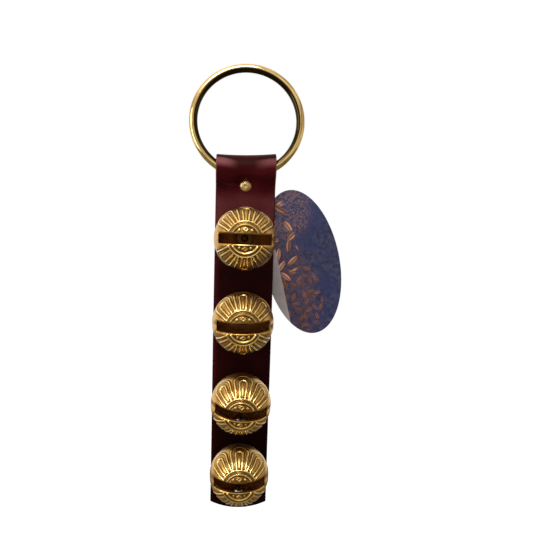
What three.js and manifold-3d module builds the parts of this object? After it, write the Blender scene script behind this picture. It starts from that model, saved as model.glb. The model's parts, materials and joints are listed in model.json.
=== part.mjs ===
// A leather bell strap: slotted brass bells screwed to one strap, which is folded over a ring to hang by it.
// Millimetres, +Z up, bells facing -Y. The origin is inside the ring, at its top, where the ring is carried.
import * as THREE from 'three';
import { mergeVertices } from 'three/addons/utils/BufferGeometryUtils.js';
import Module from 'manifold-3d';

const wasm = await Module();
wasm.setup();

// Clearance between two pieces that bear on each other
const seatGap = 0.3;

// The bells weigh in front, so the strap hangs from the ring with its foot swung back by this angle
const hangTilt = THREE.MathUtils.degToRad(10.1);

// Hanging ring
const ringBore = 63.5;
const ringWire = 5.5;

// Leather strap: one length, turned back over the ring and riveted to itself
const strapWidth = 38.1;
const leather = 2.8;
const ringPlay = 0.3;
const loopFlare = THREE.MathUtils.degToRad(45);
const pinchBend = 3.2;
const flapLength = 9.5;
const tailLength = 35;
const endRise = 4.5;

// Rivet through the two layers, and the burr that its end is peened over
const rivetShank = 3.2;
const rivetHead = 7.2;
const rivetHeadRise = 1.2;
const rivetSink = 0.5;
const burrDiameter = 8;
const burrThickness = 1;
const peenDiameter = 5;
const peenRise = 0.8;

// Bells: places along the strap, then the casting
const rivetToBell = 33.4;
const bellPitch = 50.5;
const bellLean = [-4, -1, 5, 0].map(THREE.MathUtils.degToRad);
const bellTurn = [1, -1, 3.5, -1].map(THREE.MathUtils.degToRad);
const bellDiameter = 38.1;
const bellWall = 2.2;
const slotWidth = 6.2;
const slotSpan = 32;
const footDiameter = 12;
const footRise = 1.2;
const bossDiameter = 9;
const bossLength = 5;
const ridgeAngles = [26, 34].map(THREE.MathUtils.degToRad);
const ridgeWidth = 1.2;
const ridgeRise = 0.5;

// Petals round the face: each is an outer and an inner loop of raised line, open towards the rings
const petalSpacing = THREE.MathUtils.degToRad(45);
const petalLine = 1;
const petalRise = 0.5;
const petalRoot = 0.8;
const petalLoops = [
  { base: 7.6, shoulder: 11, top: THREE.MathUtils.degToRad(86), steps: 4 },
  { base: 3, shoulder: 4.6, top: THREE.MathUtils.degToRad(73), steps: 3 },
];

// Loose ball in each bell, and the screw and washer that hold the bell from behind
const clapperDiameter = 9.5;
const clapperPlay = 0.6;
const screwShank = 4.2;
const screwHead = 8;
const screwHeadRise = 2.2;
const screwBite = 6;
const screwPoint = 0.6;
const headBevel = 0.8;
const driverSlot = 1.1;
const driverDepth = 1;
const washerDiameter = 13;
const washerThickness = 1;

// Oval card tag behind the strap's right edge
const tagLength = 96.6;
const tagWidth = 49.8;
const tagThickness = 0.5;
const tagHole = 4;
const tagTuck = 7.5;
const tagDrop = 15.5;
const tagTilt = THREE.MathUtils.degToRad(13.6);
const tagHoleMargin = 2;

// Values that follow from the sizes above
const X_AXIS = new THREE.Vector3(1, 0, 0);
const Y_AXIS = new THREE.Vector3(0, 1, 0);
const Z_AXIS = new THREE.Vector3(0, 0, 1);
const bellRadius = bellDiameter / 2;
const cavityRadius = bellRadius - bellWall;
const ringRadius = (ringBore + ringWire) / 2;
const ringCentreZ = -ringBore / 2;
const wireBottom = ringCentreZ - ringRadius - ringWire / 2;
const wireTopAtEdge = ringCentreZ - Math.sqrt((ringBore / 2) ** 2 - (strapWidth / 2) ** 2);
const loopAxisZ = (wireBottom + wireTopAtEdge) / 2;
const loopRadius = (wireTopAtEdge - wireBottom) / 2 + ringPlay;
const layerPitch = leather + seatGap;

const finishes = {
  leather: new THREE.MeshStandardMaterial({ color: 0x3a0a12, roughness: 0.42 }),
  brass: new THREE.MeshStandardMaterial({ color: 0xc99a45, roughness: 0.22, metalness: 1 }),
  paleBrass: new THREE.MeshStandardMaterial({ color: 0xbfa468, roughness: 0.35, metalness: 1 }),
  steel: new THREE.MeshStandardMaterial({ color: 0x4a4640, roughness: 0.25, metalness: 1 }),
  card: new THREE.MeshStandardMaterial({ color: 0x46465e, roughness: 0.5 }),
};

const model = new THREE.Group();

// All that hangs on the ring, measured from the middle of the leather loop
const hanging = new THREE.Group();
hanging.position.z = loopAxisZ;
hanging.rotation.x = hangTilt;
model.add(hanging);

function addPiece(parent, name, geometry, finish) {
  const mesh = new THREE.Mesh(geometry, finish);
  mesh.name = name;
  parent.add(mesh);
  return mesh;
}

// A closed geometry as a solid, with its shared vertices merged and its flat triangles left out.
function toSolid(geometry) {
  const bare = geometry.clone();
  bare.deleteAttribute('normal');
  bare.deleteAttribute('uv');
  const merged = mergeVertices(bare, 1e-4);
  const kept = [];
  for (let i = 0; i < merged.index.count; i += 3) {
    const [a, b, c] = merged.index.array.slice(i, i + 3);
    if (a !== b && b !== c && c !== a) kept.push(a, b, c);
  }
  return new wasm.Manifold(new wasm.Mesh({
    numProp: 3,
    vertProperties: new Float32Array(merged.attributes.position.array),
    triVerts: new Uint32Array(kept),
  }));
}

function toGeometry(solid) {
  const mesh = solid.getMesh();
  const geometry = new THREE.BufferGeometry();
  geometry.setAttribute('position', new THREE.BufferAttribute(mesh.vertProperties, 3));
  geometry.setIndex(new THREE.BufferAttribute(mesh.triVerts, 1));
  geometry.computeVertexNormals();
  return geometry;
}

// A profile of [radius, height] points turned about the Y axis. It runs so that the metal is on its left.
function turned(profile, facets, start = 0) {
  return toSolid(new THREE.LatheGeometry(profile.map(([r, y]) => new THREE.Vector2(r, y)), facets, start));
}

// A round cut along Y, turned by half a facet so that a flat of it, not a corner, faces each side.
function drill(diameter, length) {
  const facets = 12;
  return new THREE.CylinderGeometry(diameter / 2, diameter / 2, length, facets).rotateY(Math.PI / facets);
}

// Points of a round stretch of a profile: angles run from the -Y pole, counted towards +Y.
function arcPoints(radius, from, to, steps) {
  return Array.from({ length: steps + 1 }, (_, i) => {
    const angle = from + (to - from) * i / steps;
    return [radius * Math.sin(angle), -radius * Math.cos(angle)];
  });
}

// Points of a low dome from its pole to its rim, which lies in a seat plane. A negative rise turns it over.
function domePoints(radius, seat, rise) {
  const steps = 3;
  return Array.from({ length: steps + 1 }, (_, i) => {
    const angle = Math.PI / 2 * i / steps;
    return [radius * Math.sin(angle), seat + rise * Math.cos(angle)];
  });
}

// The strap's mid-line in the side view, as a walk that turns and goes on. Headings are angles from +Y to +Z.
class Walk {
  constructor(y, z, heading) {
    this.points = [{ y, z, heading }];
  }

  get end() {
    return this.points[this.points.length - 1];
  }

  straight(length) {
    const { y, z, heading } = this.end;
    this.points.push({ y: y + length * Math.cos(heading), z: z + length * Math.sin(heading), heading });
    return this;
  }

  bend(length, sweep, steps) {
    const start = this.end;
    const radius = length / sweep;
    for (let i = 1; i <= steps; i++) {
      const heading = start.heading + sweep * i / steps;
      const y = start.y + radius * (Math.sin(heading) - Math.sin(start.heading));
      const z = start.z - radius * (Math.cos(heading) - Math.cos(start.heading));
      this.points.push({ y, z, heading });
    }
    return this;
  }

  // Goes on while the leather's lean changes evenly from one station to the next.
  lean(length, from, to, steps) {
    return from === to ? this.straight(length) : this.bend(length, to - from, steps);
  }

  // The face of the leather on the walk's left, or its right for a negative thickness.
  face(thickness) {
    return this.points.map(({ y, z, heading }) => new THREE.Vector2(
      y - thickness / 2 * Math.sin(heading),
      z + thickness / 2 * Math.cos(heading),
    ));
  }
}

// Half of the loop, from its top over the front (side 1) or the back (side -1) down to the rivet.
function halfLoop(side) {
  const middle = loopRadius + leather / 2;
  const reach = middle * Math.cos(loopFlare) - layerPitch / 2 - pinchBend * (1 - Math.cos(loopFlare));
  const round = Math.PI / 2 + loopFlare;
  return new Walk(0, middle, Math.PI / 2 + side * Math.PI / 2)
    .bend(middle * round, side * round, 8)
    .straight(reach / Math.sin(loopFlare))
    .bend(pinchBend * loopFlare, -side * loopFlare, 4);
}

const frontStrand = halfLoop(1);
const backStrand = halfLoop(-1);
const rivetPlace = frontStrand.end;

// The front layer runs down past each bell to the tail, leaning a little differently at each.
const stations = bellLean.map((lean, i) => {
  const before = i === 0 ? 0 : bellLean[i - 1];
  frontStrand.lean(i === 0 ? rivetToBell : bellPitch, before, lean, 3);
  return { ...frontStrand.end, lean };
});
const lastLean = bellLean[bellLean.length - 1];
frontStrand.lean(tailLength, lastLean, lastLean, 1);
backStrand.lean(flapLength, 0, bellLean[0] * flapLength / rivetToBell, 2);

function stationGroup({ y, z, lean }) {
  const group = new THREE.Group();
  group.position.set(0, y, z);
  group.rotation.x = lean;
  hanging.add(group);
  return group;
}

function makeRing() {
  const round = new THREE.TorusGeometry(ringRadius, ringWire / 2, 8, 44);
  const ring = addPiece(model, 'ring', round, finishes.brass);
  ring.rotation.x = Math.PI / 2;
  ring.position.z = ringCentreZ;
}

// The side outline of the folded leather, drawn across the strap's width.
function strapBlank() {
  const outerFront = frontStrand.face(-leather).reverse();
  const outerBack = backStrand.face(leather).slice(1);
  const innerBack = backStrand.face(-leather).reverse();
  const innerFront = frontStrand.face(leather).slice(1);
  const outline = new THREE.Shape([...outerFront, ...outerBack, ...innerBack, ...innerFront]);
  const blank = new THREE.ExtrudeGeometry(outline, { depth: strapWidth, bevelEnabled: false });
  blank.translate(0, 0, -strapWidth / 2);
  return toSolid(blank.applyMatrix4(new THREE.Matrix4().makeBasis(Y_AXIS, Z_AXIS, X_AXIS)));
}

// What is cut away below a round end of the leather, in that layer alone.
function endTrim({ y, z }) {
  const half = strapWidth / 2;
  const past = half + leather;
  const endRadius = (half ** 2 + endRise ** 2) / (2 * endRise);
  const spread = Math.asin(past / endRadius);
  const trim = new THREE.Shape();
  trim.absarc(0, z + endRadius, endRadius, -Math.PI / 2 - spread, -Math.PI / 2 + spread, false);
  trim.lineTo(past, z - leather);
  trim.lineTo(-past, z - leather);
  const cut = { depth: layerPitch, bevelEnabled: false, curveSegments: 12 };
  const block = new THREE.ExtrudeGeometry(trim, cut);
  block.rotateX(Math.PI / 2);
  return toSolid(block.translate(0, y + layerPitch / 2, 0));
}

// A cut that goes in from a seat plane towards the front or the back, as a cylinder along Y.
function seatCut(diameter, seatY, side) {
  const depth = 4 * leather;
  return toSolid(drill(diameter, depth).translate(0, seatY + side * depth / 2, rivetPlace.z));
}

function makeStrap() {
  const frontFace = rivetPlace.y - leather / 2 + rivetSink;
  const backFace = rivetPlace.y + layerPitch + leather / 2 - rivetSink;
  let strap = strapBlank().subtract(endTrim(frontStrand.end)).subtract(endTrim(backStrand.end));
  strap = strap.subtract(seatCut(rivetHead + 2 * seatGap, frontFace, -1));
  strap = strap.subtract(seatCut(burrDiameter + 2 * seatGap, backFace, 1));
  strap = strap.subtract(seatCut(rivetShank + 2 * seatGap, frontFace, 1));
  for (const { y, z, lean } of stations) {
    const hole = drill(screwShank + 2 * seatGap, 3 * leather).rotateX(lean).translate(0, y, z);
    strap = strap.subtract(toSolid(hole));
  }
  addPiece(hanging, 'strap', toGeometry(strap), finishes.leather);
}

// One rivet, headed in front and peened behind, with the burr trapped under the peened end.
function makeRivet() {
  const headSeat = rivetSink - leather / 2 - seatGap;
  const burrSeat = layerPitch + leather / 2 - rivetSink + seatGap;
  const peenSeat = burrSeat + burrThickness + seatGap;
  const shank = rivetShank / 2;
  const burrBore = shank + seatGap;
  const group = new THREE.Group();
  group.position.set(0, rivetPlace.y, rivetPlace.z);
  hanging.add(group);
  const rivet = turned([
    ...domePoints(rivetHead / 2, headSeat, -rivetHeadRise),
    [shank, headSeat],
    [shank, peenSeat],
    ...domePoints(peenDiameter / 2, peenSeat, peenRise).reverse(),
  ], 16);
  addPiece(group, 'fold_rivet', toGeometry(rivet), finishes.paleBrass);
  const burr = turned([
    [burrBore, burrSeat],
    [burrDiameter / 2, burrSeat],
    [burrDiameter / 2, burrSeat + burrThickness],
    [burrBore, burrSeat + burrThickness],
    [burrBore, burrSeat],
  ], 16);
  addPiece(group, 'rivet_burr', toGeometry(burr), finishes.paleBrass);
}

// The bell's outside from its front pole to the foot, with the two raised rings round its face.
function bellFace() {
  const halfRidge = ridgeWidth / 2 / bellRadius;
  const face = [[0, -bellRadius]];
  let angle = 0;
  for (const ridge of ridgeAngles) {
    face.push(...arcPoints(bellRadius, angle, ridge - halfRidge, 2).slice(1));
    face.push(...arcPoints(bellRadius + ridgeRise, ridge, ridge, 1).slice(1));
    angle = ridge + halfRidge;
    face.push(...arcPoints(bellRadius, angle, angle, 1).slice(1));
  }
  const footAngle = Math.PI - Math.asin(footDiameter / 2 / bellRadius);
  return [...face, ...arcPoints(bellRadius, angle, footAngle, 6).slice(1)];
}

// A point of the bell's face by its angle off the axis, its turn about the axis and its height over the wall.
function facePoint(angle, turn, rise) {
  const radius = bellRadius + rise;
  const out = radius * Math.sin(angle);
  return new THREE.Vector3(out * Math.sin(turn), -radius * Math.cos(angle), out * Math.cos(turn));
}

// The middle line of one loop of a petal: up one side, round the top and down the other.
function loopLine({ base, shoulder, top, steps }) {
  const foot = ridgeAngles[ridgeAngles.length - 1];
  const crown = top - shoulder / 2 / bellRadius;
  const round = Array.from({ length: steps + 1 }, (_, i) => {
    const angle = Math.PI * i / steps;
    return [crown + (top - crown) * Math.sin(angle), -shoulder / 2 * Math.cos(angle)];
  });
  return [[foot, -base / 2], ...round, [foot, base / 2]];
}

// A raised line with a sharp crest, rooted in the wall, along the points of a loop.
function raisedLine(line, petalTurn) {
  const rootHalf = petalLine / 2 * (petalRise + petalRoot) / petalRise;
  const onWall = ([angle, aside], rise) => {
    return facePoint(angle, petalTurn + aside / bellRadius / Math.sin(angle), rise);
  };
  const rings = line.map((point, i) => {
    const before = onWall(line[Math.max(i - 1, 0)], 0);
    const after = onWall(line[Math.min(i + 1, line.length - 1)], 0);
    const crest = onWall(point, petalRise);
    const side = after.sub(before).cross(crest).setLength(rootHalf);
    const root = onWall(point, -petalRoot);
    return [crest, root.clone().add(side), root.clone().sub(side)];
  });
  const index = [];
  rings.forEach((_, i) => {
    if (i === 0) return;
    for (let k = 0; k < 3; k++) {
      const [a, b] = [3 * i - 3 + k, 3 * i - 3 + (k + 1) % 3];
      index.push(a, b, a + 3, b, b + 3, a + 3);
    }
  });
  const last = 3 * rings.length - 3;
  index.push(0, 2, 1, last, last + 1, last + 2);
  const geometry = new THREE.BufferGeometry().setFromPoints(rings.flat());
  geometry.setIndex(index);
  return toSolid(geometry);
}

// Three petals above the slot and three below it: the slot takes the places at its two ends.
function addPetals(shell) {
  for (const side of [0, Math.PI]) {
    for (const place of [-1, 0, 1]) {
      for (const loop of petalLoops) {
        shell = shell.add(raisedLine(loopLine(loop), side + place * petalSpacing));
      }
    }
  }
  return shell;
}

// The hollow inside a bell, round the boss that takes the screw.
function bellHollow() {
  const bossAngle = Math.PI - Math.asin(bossDiameter / 2 / cavityRadius);
  return turned([
    ...arcPoints(cavityRadius, 0, bossAngle, 8),
    [bossDiameter / 2, cavityRadius - bossLength],
    [0, cavityRadius - bossLength],
  ], 20);
}

// One hollow casting: round wall with its petals, foot and screw boss behind, and the slot across its face.
// Its facets start a quarter of one aside, so that no seam runs up the middle of a petal.
function bellCasting() {
  const facets = 24;
  const footEnd = bellRadius + footRise;
  const profile = [...bellFace(), [footDiameter / 2, footEnd], [0, footEnd]];
  const outside = turned(profile, facets, Math.PI / 2 / facets);
  const slot = new THREE.BoxGeometry(slotSpan, bellRadius, slotWidth);
  slot.translate(0, -bellRadius / 2 - bellWall, 0);
  const bore = drill(screwShank + 2 * seatGap, bellRadius).translate(0, footEnd, 0);
  const casting = addPetals(outside).subtract(bellHollow());
  return toGeometry(casting.subtract(toSolid(slot)).subtract(toSolid(bore)));
}

function screwBlank() {
  const headSeat = leather / 2 + washerThickness + 2 * seatGap;
  const tip = -leather / 2 - seatGap - screwBite;
  const shank = screwShank / 2;
  const top = headSeat + screwHeadRise;
  const screw = turned([
    [0, tip],
    [shank - screwPoint, tip],
    [shank, tip + screwPoint],
    [shank, headSeat],
    [screwHead / 2, headSeat],
    [screwHead / 2, top - headBevel],
    [screwHead / 2 - headBevel, top],
    [0, top],
  ], 14);
  const driver = new THREE.BoxGeometry(screwHead * 2, driverDepth * 2, driverSlot).translate(0, top, 0);
  return toGeometry(screw.subtract(toSolid(driver)));
}

function washerBlank() {
  const bore = screwShank / 2 + seatGap;
  const seat = leather / 2 + seatGap;
  return toGeometry(turned([
    [bore, seat],
    [washerDiameter / 2, seat],
    [washerDiameter / 2, seat + washerThickness],
    [bore, seat + washerThickness],
    [bore, seat],
  ], 16));
}

function makeBells() {
  const casting = bellCasting();
  const screw = screwBlank();
  const washer = washerBlank();
  const centre = -(leather / 2 + seatGap + footRise + bellRadius);
  const clapperRest = cavityRadius - clapperDiameter / 2 - clapperPlay;
  stations.forEach((station, i) => {
    const group = stationGroup(station);
    const bell = addPiece(group, `bell_${i + 1}`, casting, finishes.brass);
    bell.position.y = centre;
    bell.rotation.y = bellTurn[i];
    addPiece(group, `bell_screw_${i + 1}`, screw, finishes.paleBrass);
    addPiece(group, `bell_washer_${i + 1}`, washer, finishes.paleBrass);
    bell.updateWorldMatrix(true, false);
    const ball = new THREE.SphereGeometry(clapperDiameter / 2, 12, 8);
    const clapper = addPiece(model, `clapper_${i + 1}`, ball, finishes.steel);
    clapper.position.setFromMatrixPosition(bell.matrixWorld);
    clapper.position.z -= clapperRest;
  });
}

// How far back the strap reaches within a stretch of heights.
function strapBack(low, high) {
  return Math.max(...frontStrand.face(leather).filter((p) => p.y > low && p.y < high).map((p) => p.x));
}

// The card lies flat behind the leather, its left edge tucked in by tagTuck, and its hole at that edge.
function makeTag() {
  const long = tagLength / 2;
  const short = tagWidth / 2;
  const across = short * Math.cos(tagTilt);
  const slant = long * Math.sin(tagTilt);
  const centreX = strapWidth / 2 - tagTuck + Math.hypot(across, slant);
  const centreZ = stations[0].z - tagDrop;
  const outline = new THREE.Shape().absellipse(0, 0, short, long, 0, 2 * Math.PI, false);
  const tuckedEnd = Math.PI - Math.atan2(slant, across);
  const inset = tagHole / 2 + tagHoleMargin;
  const holeX = short * Math.cos(tuckedEnd) + inset * Math.cos(tagTilt);
  const holeY = long * Math.sin(tuckedEnd) - inset * Math.sin(tagTilt);
  outline.holes.push(new THREE.Path().absarc(holeX, holeY, tagHole / 2, 0, 2 * Math.PI, true));
  const sheet = { depth: tagThickness, bevelEnabled: false, curveSegments: 16 };
  const card = new THREE.ExtrudeGeometry(outline, sheet);
  card.rotateZ(tagTilt).rotateX(Math.PI / 2);
  const tag = addPiece(hanging, 'swing_tag', card, finishes.card);
  const back = strapBack(centreZ - long, centreZ + long);
  tag.position.set(centreX, back + seatGap + tagThickness, centreZ);
}

makeRing();
makeStrap();
makeRivet();
makeBells();
makeTag();

export default model;
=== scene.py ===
import json
import math

import bmesh
import bpy
import numpy as np
from mathutils import Matrix, Vector


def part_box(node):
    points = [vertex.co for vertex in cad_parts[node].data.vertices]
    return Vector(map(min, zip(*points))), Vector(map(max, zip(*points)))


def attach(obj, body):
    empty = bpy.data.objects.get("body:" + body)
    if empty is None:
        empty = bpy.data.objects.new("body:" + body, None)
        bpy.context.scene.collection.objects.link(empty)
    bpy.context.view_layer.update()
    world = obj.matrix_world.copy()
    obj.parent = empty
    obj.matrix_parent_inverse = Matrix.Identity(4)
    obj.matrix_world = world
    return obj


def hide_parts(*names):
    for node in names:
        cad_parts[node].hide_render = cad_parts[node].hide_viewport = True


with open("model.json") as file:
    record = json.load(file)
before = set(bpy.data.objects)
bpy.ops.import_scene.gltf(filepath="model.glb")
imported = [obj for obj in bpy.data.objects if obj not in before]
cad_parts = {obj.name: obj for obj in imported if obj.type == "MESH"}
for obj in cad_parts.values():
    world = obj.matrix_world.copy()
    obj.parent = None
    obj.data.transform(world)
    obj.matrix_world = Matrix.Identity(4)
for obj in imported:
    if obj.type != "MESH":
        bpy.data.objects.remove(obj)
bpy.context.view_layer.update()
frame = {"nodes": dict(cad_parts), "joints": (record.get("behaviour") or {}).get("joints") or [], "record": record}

# The strap hangs from its ring at rest, leaning back a little because the bells weigh in front of it.
# All that hangs is placed in the loop's own frame: x across the strap, z up along it, -y to the front.
MM = 0.001
swing = next(joint for joint in frame["joints"] if joint["name"] == "strap_swing")
back_rest = next(mount for mount in frame["record"]["mounts"] if mount["name"] == "back_rest")
hang_tilt = math.atan2(back_rest["axis"][2], back_rest["axis"][1])
hang = Matrix.Translation(swing["pos_m"]) @ Matrix.Rotation(hang_tilt, 4, "X")

# Camera: a hand-held view from the front, a forearm's length away and level with the upper bells.
# It looks slightly up and to the right, and leans a little, as the strap's edges show.
camera_data = bpy.data.cameras.new("front_view")
camera_data.sensor_fit = "HORIZONTAL"
camera_data.sensor_width = 36
camera_data.lens = 39.174
camera = bpy.data.objects.new("front_view", camera_data)
bpy.context.scene.collection.objects.link(camera)
camera_place = Vector((-5.73, -369.04, -140.45)) * MM
camera_yaw = math.radians(3.121)
camera_rise = math.radians(2.391)
camera_roll = math.radians(1.162)
camera_aim = Vector((
    math.sin(camera_yaw) * math.cos(camera_rise),
    math.cos(camera_yaw) * math.cos(camera_rise),
    math.sin(camera_rise),
))
camera_turn = camera_aim.to_track_quat("-Z", "Y").to_matrix().to_4x4()
camera_lean = Matrix.Rotation(camera_roll, 4, "Z")
camera.matrix_world = Matrix.Translation(camera_place) @ camera_turn @ camera_lean
bpy.context.scene.camera = camera
bpy.context.scene.view_settings.view_transform = "Standard"

# Ring: round brass wire, bent to a circle, butt welded and polished, with a painted dark reflection round its
# inside.
# It goes through the leather loop and is the part that is hung up.


def turned(profile, segments):
    """Points and faces of (radius, height) pairs turned about Y, closed at a radius of 0 or on itself."""
    verts = []
    rings = []
    for radius, height in profile:
        count = segments if radius > 1e-9 else 1
        rings.append(range(len(verts), len(verts) + count))
        for k in range(count):
            angle = 2 * math.pi * k / segments
            verts.append((radius * math.sin(angle), height, radius * math.cos(angle)))
    if len(rings[0]) > 1:
        rings.append(rings[0])
    faces = []
    for low, high in zip(rings, rings[1:]):
        for k in range(segments):
            following = (k + 1) % segments
            if len(low) == 1:
                faces.append((low[0], high[k], high[following]))
            elif len(high) == 1:
                faces.append((low[k], low[following], high[0]))
            else:
                faces.append((low[k], low[following], high[following], high[k]))
    return verts, faces


def shade_smooth(mesh, sharp_over=40):
    """Smooth shading, but for edges sharper than an angle in degrees."""
    mesh.shade_smooth()
    mesh.set_sharp_from_angle(angle=math.radians(sharp_over))


def make_piece(name, verts, faces, place):
    """A smooth mesh object at its place, with its faces turned out."""
    mesh = bpy.data.meshes.new(name)
    mesh.from_pydata([tuple(v) for v in verts], [], [tuple(f) for f in faces])
    shape = bmesh.new()
    shape.from_mesh(mesh)
    bmesh.ops.recalc_face_normals(shape, faces=shape.faces)
    shape.to_mesh(mesh)
    shape.free()
    shade_smooth(mesh)
    piece = bpy.data.objects.new(name, mesh)
    bpy.context.scene.collection.objects.link(piece)
    piece.matrix_world = place
    return piece


def new_finish(name):
    """A node material and its main shader."""
    material = bpy.data.materials.new(name)
    material.use_nodes = True
    return material, material.node_tree.nodes["Principled BSDF"]


def give_finish(piece, material):
    """Dresses a whole piece in one material."""
    piece.data.materials.clear()
    piece.data.materials.append(material)


def add(material, kind, inputs=None, **settings):
    """One more node, with its settings made and each input set to a value or linked to a socket."""
    node = material.node_tree.nodes.new(kind)
    for key, value in settings.items():
        setattr(node, key, value)
    wire(material, node, inputs or {})
    return node


def wire(material, node, inputs):
    """Sets each named input to a value, or links it to a socket."""
    for key, value in inputs.items():
        if isinstance(value, bpy.types.NodeSocket):
            material.node_tree.links.new(value, node.inputs[key])
        else:
            node.inputs[key].default_value = value


def own_place(material, stretch=(1, 1, 1)):
    """The piece's own coordinates in metres, stretched along its axes."""
    place = add(material, "ShaderNodeTexCoord").outputs["Object"]
    return add(material, "ShaderNodeMapping", {"Vector": place, "Scale": stretch}).outputs["Vector"]


def noise(material, place, grain, detail=3):
    """Cloudy noise whose patches measure about one grain, in metres."""
    inputs = {"Vector": place, "Scale": 1 / grain, "Detail": detail}
    return add(material, "ShaderNodeTexNoise", inputs).outputs["Fac"]


def between(material, value, low, high, bottom=0.0, top=1.0):
    """A smooth step of a value, from bottom at low to top at high."""
    inputs = {"Value": value, "From Min": low, "From Max": high, "To Min": bottom, "To Max": top}
    return add(material, "ShaderNodeMapRange", inputs, interpolation_type="SMOOTHSTEP").outputs["Result"]


def blend(material, factor, first, second):
    """The first colour where the factor is 0, the second where it is 1."""
    return add(material, "ShaderNodeMix", {0: factor, 6: first, 7: second}, data_type="RGBA").outputs[2]


def calc(material, operation, *values):
    """The result of one sum on sockets or numbers."""
    return add(material, "ShaderNodeMath", dict(enumerate(values)), operation=operation).outputs[0]


def bumped(material, height, depth, below=None):
    """A normal that rises by depth, in metres, where the height is 1."""
    inputs = {"Height": height, "Distance": depth, "Strength": 1.0}
    if below is not None:
        inputs["Normal"] = below
    return add(material, "ShaderNodeBump", inputs).outputs["Normal"]


def brass_finish(name, bright, dull, smooth, rough, reflection_within=0.0, shade_before=None):
    """Polished brass, clouded by handling, with a painted dark reflection within a radius of its Y axis and
    painted shade before a place on it.
    """
    cloud_size, spot_size = 6 * MM, 2 * MM
    mark_size, mark_depth = 0.5 * MM, 0.0015 * MM
    fade = 0.5 * MM
    painted_dark_reflection, painted_hollow_shade = (0.035, 0.026, 0.012, 1), (0.1, 0.045, 0.012, 1)
    material, shader = new_finish(name)
    place = own_place(material)
    cloud = between(material, noise(material, place, cloud_size), 0.35, 0.7)
    marks = noise(material, own_place(material, (1, 8, 1)), mark_size, 2)
    colour = blend(material, cloud, bright, dull)
    # Painted reflection: the inner side of a ring is painted dark, as the reflection of what it hangs on.
    if reflection_within:
        flat = own_place(material, (1, 0, 1))
        off_axis = add(material, "ShaderNodeVectorMath", {0: flat}, operation="LENGTH").outputs["Value"]
        painted_light_mask = between(material, off_axis, reflection_within + 0.8 * fade, reflection_within - 0.4 * fade)
        colour = blend(material, painted_light_mask, colour, painted_dark_reflection)
    # Painted shade: the part of a piece that sits in a hollow is painted brown.
    if shade_before is not None:
        depth = add(material, "ShaderNodeSeparateXYZ", {0: place}).outputs[1]
        painted_light_mask = between(material, depth, shade_before + fade, shade_before - fade)
        colour = blend(material, painted_light_mask, colour, painted_hollow_shade)
    wire(material, shader, {
        "Base Color": colour,
        "Metallic": 1.0,
        "Roughness": between(material, noise(material, place, spot_size), 0.3, 0.75, smooth, rough),
        "Normal": bumped(material, marks, mark_depth),
    })
    return material


ring_low, ring_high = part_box("ring")
ring_outside = (ring_high.x - ring_low.x) / 2
ring_wire = ring_high.y - ring_low.y
ring_middle = ring_outside - ring_wire / 2
ring_steps = 40
ring_around = 240
ring_section = [
    (ring_middle + ring_wire / 2 * math.cos(a), ring_wire / 2 * math.sin(a))
    for a in np.linspace(0, 2 * math.pi, ring_steps, endpoint=False)
]
# The wire is painted dark inside this radius, as a painted reflection.
ring_reflection_edge = ring_middle - 0.08 * ring_wire
ring_bright, ring_dull = (0.78, 0.62, 0.32, 1), (0.66, 0.50, 0.24, 1)
ring_brass = brass_finish("ring_brass", ring_bright, ring_dull, 0.08, 0.15, ring_reflection_edge)
ring_at = Matrix.Translation((0, 0, (ring_low.z + ring_high.z) / 2))
ring = make_piece("hanging_ring", *turned(ring_section, ring_around), ring_at)
give_finish(ring, ring_brass)
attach(ring, "ring")
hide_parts("ring")

# Strap: one length of bridle leather, glazed oxblood on its grain side, bare behind, with burnished edges.
# It is folded over the ring, and its short end is riveted behind it. Both ends are cut round.
strap_low, strap_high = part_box("strap")
strap_half = (strap_high.x - strap_low.x) / 2
leather = 2.8 * MM
layer_gap = 0.3 * MM
ring_play = 0.3 * MM
wire_at_edge = math.sqrt((ring_outside - ring_wire) ** 2 - strap_half ** 2)
loop_inside = (ring_outside - wire_at_edge) / 2 + ring_play
loop_flare = math.radians(45)
pinch_bend = 3.2 * MM
flap_length = 9.5 * MM
rivet_to_bell = 33.4 * MM
bell_pitch = 50.5 * MM
tail_length = 35 * MM
end_rise = 4.5 * MM
bell_lean = [math.radians(a) for a in (-4, -1, 5, 0)]
strap_step = 0.8 * MM


def walk_on(line, length, sweep):
    """Goes on along the strap's mid-line (y, z, heading) while the heading turns evenly by sweep."""
    y, z, heading = line[-1]
    steps = max(2, round(length / strap_step))
    for i in range(1, steps + 1):
        ahead = length * i / steps
        turn = sweep * i / steps
        chord = ahead * (math.sin(turn / 2) / (turn / 2) if turn else 1)
        course = heading + turn / 2
        line.append((y + chord * math.cos(course), z + chord * math.sin(course), heading + turn))


def half_loop(side):
    """From the top of the loop over the front (1) or the back (-1) down to the rivet."""
    middle = loop_inside + leather / 2
    round_part = math.pi / 2 + loop_flare
    reach = middle * math.cos(loop_flare) - (leather + layer_gap) / 2
    reach -= pinch_bend * (1 - math.cos(loop_flare))
    line = [(0, middle, math.pi / 2 * (1 + side))]
    walk_on(line, middle * round_part, side * round_part)
    walk_on(line, reach / math.sin(loop_flare), 0)
    walk_on(line, pinch_bend * loop_flare, -side * loop_flare)
    return line


front_line = half_loop(1)
back_line = half_loop(-1)
rivet_place = front_line[-1]
stations = []
for number, lean in enumerate(bell_lean):
    before = bell_lean[number - 1] if number else 0
    walk_on(front_line, bell_pitch if number else rivet_to_bell, lean - before)
    stations.append(front_line[-1][:2])
walk_on(front_line, tail_length, 0)
walk_on(back_line, flap_length, bell_lean[0] * flap_length / rivet_to_bell)

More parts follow.
